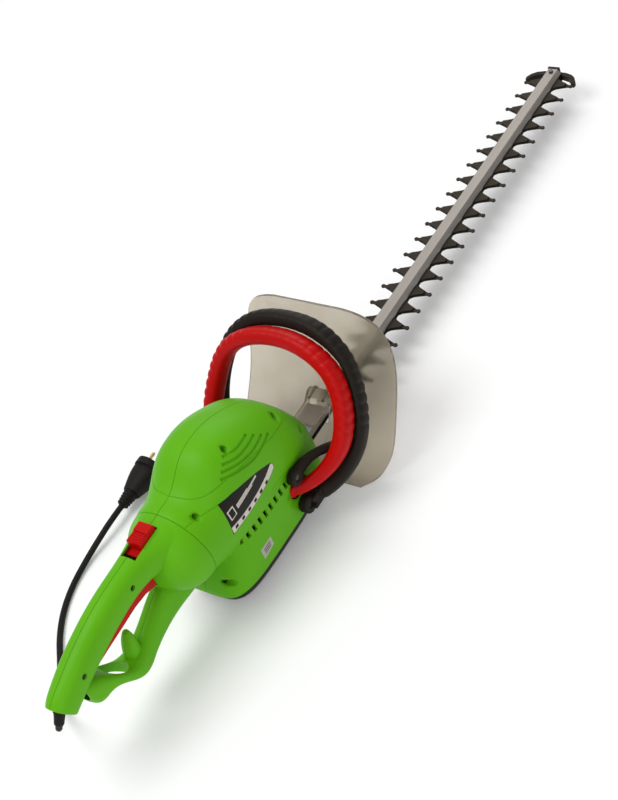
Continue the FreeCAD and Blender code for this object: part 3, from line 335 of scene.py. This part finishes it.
def decal(name, tree, outline, slot, body, side=-1, lift=0.25, cell=3.0):
    """A thin label that lies on a side surface. Its outline is x and z in mm."""
    bm = bmesh.new()
    corners = [bm.verts.new((x, 0, z)) for x, z in outline]
    bm.faces.new(corners)
    for axis, values in ((0, [x for x, _ in outline]), (2, [z for _, z in outline])):
        level = min(values) + cell
        while level < max(values):
            place = [0, 0, 0]
            normal = [0, 0, 0]
            place[axis] = level
            normal[axis] = 1
            everything = bm.verts[:] + bm.edges[:] + bm.faces[:]
            bmesh.ops.bisect_plane(bm, geom=everything, plane_co=place, plane_no=normal)
            level += cell
    for vert in bm.verts:
        place, normal = on_side(tree, vert.co.x, vert.co.z, side)
        vert.co = place + Vector((0, side * lift * MM, 0))
    top = bmesh.ops.extrude_face_region(bm, geom=bm.faces[:])
    for vert in (g for g in top["geom"] if isinstance(g, bmesh.types.BMVert)):
        vert.co.y -= side * (lift + 0.15) * MM
    return mesh_object(name, bm, slot, body)


# ---------------------------------------------------------------- surface pieces of the housing

HOUSING_TREE = surface_tree("housing_left", "housing_right")


def snapped(line):
    """Points of a smooth line, in mm, moved onto the housing's surface."""
    return [HOUSING_TREE.find_nearest(Vector(place) * MM)[0] for place in spline_points(line)]


def both_sides(lines):
    return lines + [[(x, -y, z) for x, y, z in line] for line in lines]


def carved(node, cutters):
    """A copy of a CAD shell with grooves cut into it; it stands for the node."""
    source = NODES[node]
    copy = bpy.data.objects.new(f"{node}_carved", source.data.copy())
    bpy.context.scene.collection.objects.link(copy)
    for cutter in cutters:
        modifier = copy.modifiers.new("groove", "BOOLEAN")
        modifier.object = cutter
        modifier.solver = "EXACT"
    graph = bpy.context.evaluated_depsgraph_get()
    mesh = bpy.data.meshes.new_from_object(copy.evaluated_get(graph))
    copy.modifiers.clear()
    copy.data = mesh
    paint(copy, SLOTS[node])
    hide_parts(node)
    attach(copy, "machine")
    return copy


# lines on the right side of the housing, in mm; the left side has their mirror images
COOLING_GROOVES = [
    [(3, -41, 190), (15, -44, 185.6), (29, -44.6, 183), (44, -42.6, 182)],
    [(-4, -43, 185.5), (13, -48.4, 179.5), (33, -48.6, 176.3), (51, -46, 175.2)],
    [(-11, -45, 181.3), (10, -51, 174.2), (33, -52, 168.8), (58, -48.4, 167.7)],
    [(-17, -46, 176.6), (7, -53.4, 168.3), (33, -54.6, 161.4), (66, -49.6, 161.3)],
]
COLLAR_LINE = [(107, -37, 144), (90, -47.5, 150), (62, -52.7, 156.5), (24, -53.4, 167), (-10, -50, 173),
               (-26, -45, 173), (-40, -36, 172), (-49, -24, 174), (-53, -10, 177), (-54, 0, 177.5)]
BELT_LINE = [(-77, -32, 161.5), (-62, -37, 160.5), (-50, -42, 159.3), (-38, -47.7, 158.3)]
SIDE_LINE = [(124, -42, 120), (100, -52, 98), (80, -54, 92), (62, -56, 103), (46, -57, 108), (29, -57, 107.5)]


def carve_housing():
    collar = COLLAR_LINE + [(x, -y, z) for x, y, z in COLLAR_LINE[-2::-1]]
    grooves = [(line, 1.9) for line in both_sides(COOLING_GROOVES)]
    grooves += [(line, 0.55) for line in both_sides([BELT_LINE, SIDE_LINE])]
    grooves.append((collar, 0.6))
    cutters = [sweep("groove_cutter", snapped(line), radius * MM, "black_plastic", None)
               for line, radius in grooves]
    for node, low, high in (("housing_left", -0.5 * MM, 1), ("housing_right", -1, 0.5 * MM)):
        near = [c for c in cutters if any(low <= v.co.y <= high for v in c.data.vertices)]
        carved(node, near)
    for cutter in cutters:
        bpy.data.objects.remove(cutter)


carve_housing()

# outlines of the labels on the right side: x and z in mm
RATING_LABEL = [(-37, 159), (-18, 158), (1, 154), (22, 148), (43, 139), (46, 135), (45, 129.5), (38, 126),
                (29, 123.5), (12, 120), (-5, 117.5), (-24, 116), (-42, 115)]
RATING_BAND = [(-40.6, 125), (-24, 124.5), (-5, 126), (12, 128.5), (29, 132.5), (43, 138), (45.2, 135),
               (44.6, 130), (37.6, 126.8), (29, 124.4), (12, 120.9), (-5, 118.4), (-24, 116.9), (-41, 116)]
SERIAL_LABEL = [(-1, 59.5), (-1, 46), (-21, 42), (-21, 58)]


def block_outline(x, z, length, height):
    rise = 0.16 * length
    return [(x, z), (x + length, z + rise), (x + length, z + rise + height), (x, z + height)]


def label_piece(name, outline, slot, lift=0.25):
    decal(name, HOUSING_TREE, outline, slot, "machine", lift=lift)


def add_labels():
    """Plain fields in place of the printed labels: generic bars and blocks, no text."""
    label_piece("rating_label", RATING_LABEL, "label_black")
    label_piece("rating_band", RATING_BAND, "label_white", 0.45)
    for i, (z, length) in enumerate(((142, 22), (140.5, 40), (139, 40), (137.5, 30))):
        label_piece(f"rating_bar_{i}", block_outline(-22, z, length, 1.1), "label_white", 0.45)
    label_piece("rating_block", block_outline(-36, 132, 10, 13), "label_white", 0.45)
    label_piece("rating_block_inner", block_outline(-34.5, 133.6, 7, 10), "label_black", 0.65)
    for i in range(6):
        x = -36 + 12 * i
        outline = block_outline(x, 118.2 + 0.016 * (x + 36) ** 1.4, 4.5, 4)
        label_piece(f"band_mark_{i}", outline, "label_black", 0.65)
    label_piece("serial_label", SERIAL_LABEL, "label_silver")
    for i in range(3):
        label_piece(f"serial_bar_{i}", block_outline(-17, 47 + 3 * i, 12, 0.9), "label_black", 0.45)


add_labels()


# ---------------------------------------------------------------- grips

# half of each bar's centre line, from the top middle down to the foot, in mm
BLACK_BAR = [(204, 0, 189), (200, 40, 186), (188, 76, 165), (165, 97, 128), (138, 101, 88)]
RED_BAR = [(179, 0, 185.5), (175, 37, 182.5), (164, 74, 162.5), (142, 92, 126.5), (116, 93, 97)]
RIDGE_PITCH = 11.5 * MM
RING_CENTRE = Vector((150, 0, 105)) * MM
BAR_REACH = 20 * MM          # farther from the centre line than this is no part of the bar
PLAIN_END = 3                # points of the centre line without scallops at each end


def remeshed(node, voxel):
    """A copy of a CAD solid with an even mesh and softened edges; it stands for the node."""
    copy = bpy.data.objects.new(f"{node}_soft", NODES[node].data.copy())
    bpy.context.scene.collection.objects.link(copy)
    modifier = copy.modifiers.new("even", "REMESH")
    modifier.mode = "VOXEL"
    modifier.voxel_size = voxel
    smooth = copy.modifiers.new("smooth", "SMOOTH")
    smooth.factor = 0.5
    smooth.iterations = 3
    graph = bpy.context.evaluated_depsgraph_get()
    mesh = bpy.data.meshes.new_from_object(copy.evaluated_get(graph))
    copy.modifiers.clear()
    copy.data = mesh
    for polygon in mesh.polygons:
        polygon.use_smooth = True
    paint(copy, SLOTS[node])
    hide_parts(node)
    return copy


def add_ridges(obj, half_line, depth):
    """Press scallops into the outer side of a bar, square to its centre line, faint across the top."""
    line = spline_points(half_line, 16)
    line = [Vector((x, -y, z)) * MM for x, y, z in line[:0:-1]] + [Vector(p) * MM for p in line]
    lengths = [0.0]
    for a, b in zip(line, line[1:]):
        lengths.append(lengths[-1] + (b - a).length)
    tree = KDTree(len(line))
    for i, place in enumerate(line):
        tree.insert(place, i)
    tree.balance()
    last = len(line) - 1 - PLAIN_END
    for vert in obj.data.vertices:
        centre, i, distance = tree.find(vert.co)
        if i < PLAIN_END or i > last or distance > BAR_REACH:
            continue
        ahead = (line[i + 1] - line[i - 1]).normalized()
        away = vert.co - centre
        along = lengths[i] + away.dot(ahead)
        away -= ahead * away.dot(ahead)
        outward = centre - RING_CENTRE
        outward -= ahead * outward.dot(ahead)
        facing = max(0.0, (away.normalized().dot(outward.normalized()) - 0.35) / 0.65)
        fade = min(1.0, (i - PLAIN_END) / 6, (last - i) / 6)
        fade *= min(1.0, 0.2 + 0.8 * (abs(centre.y) / (70 * MM)) ** 2)
        wave = 0.5 - 0.5 * math.cos(2 * math.pi * along / RIDGE_PITCH)
        vert.co -= away.normalized() * depth * facing ** 0.5 * fade * wave ** 2


def add_grips():
    for node, body, line, depth in (("front_handle", "machine", BLACK_BAR, 1.6 * MM),
                                    ("switch_bar", "hand_switch", RED_BAR, 1.5 * MM)):
        grip = remeshed(node, 1.3 * MM)
        add_ridges(grip, line, depth)
        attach(grip, body)


add_grips()


# ---------------------------------------------------------------- plug

PLUG_LEVEL = CORD_ROUTE[-1][2] * MM


def add_plug_ribs():
    """Ribs of the flexible boot where the cord enters the plug."""
    low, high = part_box("mains_plug")
    axis_y = (low.y + high.y) / 2
    across = Matrix.Rotation(math.pi / 2, 4, "Y")
    for i in range(5):
        along = 2 + 4 * i
        bpy.ops.mesh.primitive_torus_add(major_radius=(6.6 + 0.12 * along) * MM, minor_radius=0.9 * MM,
                                         major_segments=32, minor_segments=8)
        rib = bpy.context.object
        rib.name = f"boot_rib_{i}"
        rib.data.transform(Matrix.Translation((low.x + along * MM, axis_y, PLUG_LEVEL)) @ across)
        paint(rib, "cord_rubber")
        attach(rib, "rear_handle")


add_plug_ribs()


# ---------------------------------------------------------------- stage

def add_floor():
    bpy.ops.mesh.primitive_plane_add(size=14, location=(0.2, 0, CAD_BOX[0].z))
    floor = bpy.context.object
    floor.name = "floor"
    material, nodes, links, shader = new_material("floor")
    tone = add_noise(nodes, links, 2)
    vary(nodes, links, tone.outputs["Fac"], (0.86, 0.86, 0.86, 1), (0.88, 0.88, 0.88, 1),
         shader.inputs["Base Color"])
    shader.inputs["Roughness"].default_value = 0.9
    shader.inputs["Emission Color"].default_value = (1, 1, 1, 1)
    shader.inputs["Emission Strength"].default_value = 0.12
    floor.data.materials.append(material)


def add_light(name, place, target, size, watts):
    data = bpy.data.lights.new(name, "AREA")
    data.shape = "DISK"
    data.size = size
    data.energy = watts
    light = bpy.data.objects.new(name, data)
    bpy.context.scene.collection.objects.link(light)
    light.location = place
    light.rotation_mode = "QUATERNION"
    light.rotation_quaternion = (Vector(target) - light.location).to_track_quat("-Z", "Y")


def add_studio():
    add_floor()
    middle = (0.1, 0, 0.1)
    add_light("key", (-0.6, 0.6, 2.2), middle, 1.4, 26)
    add_light("fill", (-1.6, -1.6, 1.2), middle, 2.0, 12)
    add_light("rim", (1.8, 0.8, 1.6), middle, 1.6, 14)
    world = bpy.data.worlds.new("studio")
    world.use_nodes = True
    world.node_tree.nodes["Background"].inputs["Color"].default_value = (1, 1, 1, 1)
    world.node_tree.nodes["Background"].inputs["Strength"].default_value = 0.52
    bpy.context.scene.world = world
    bpy.context.scene.view_settings.view_transform = "Standard"


add_studio()
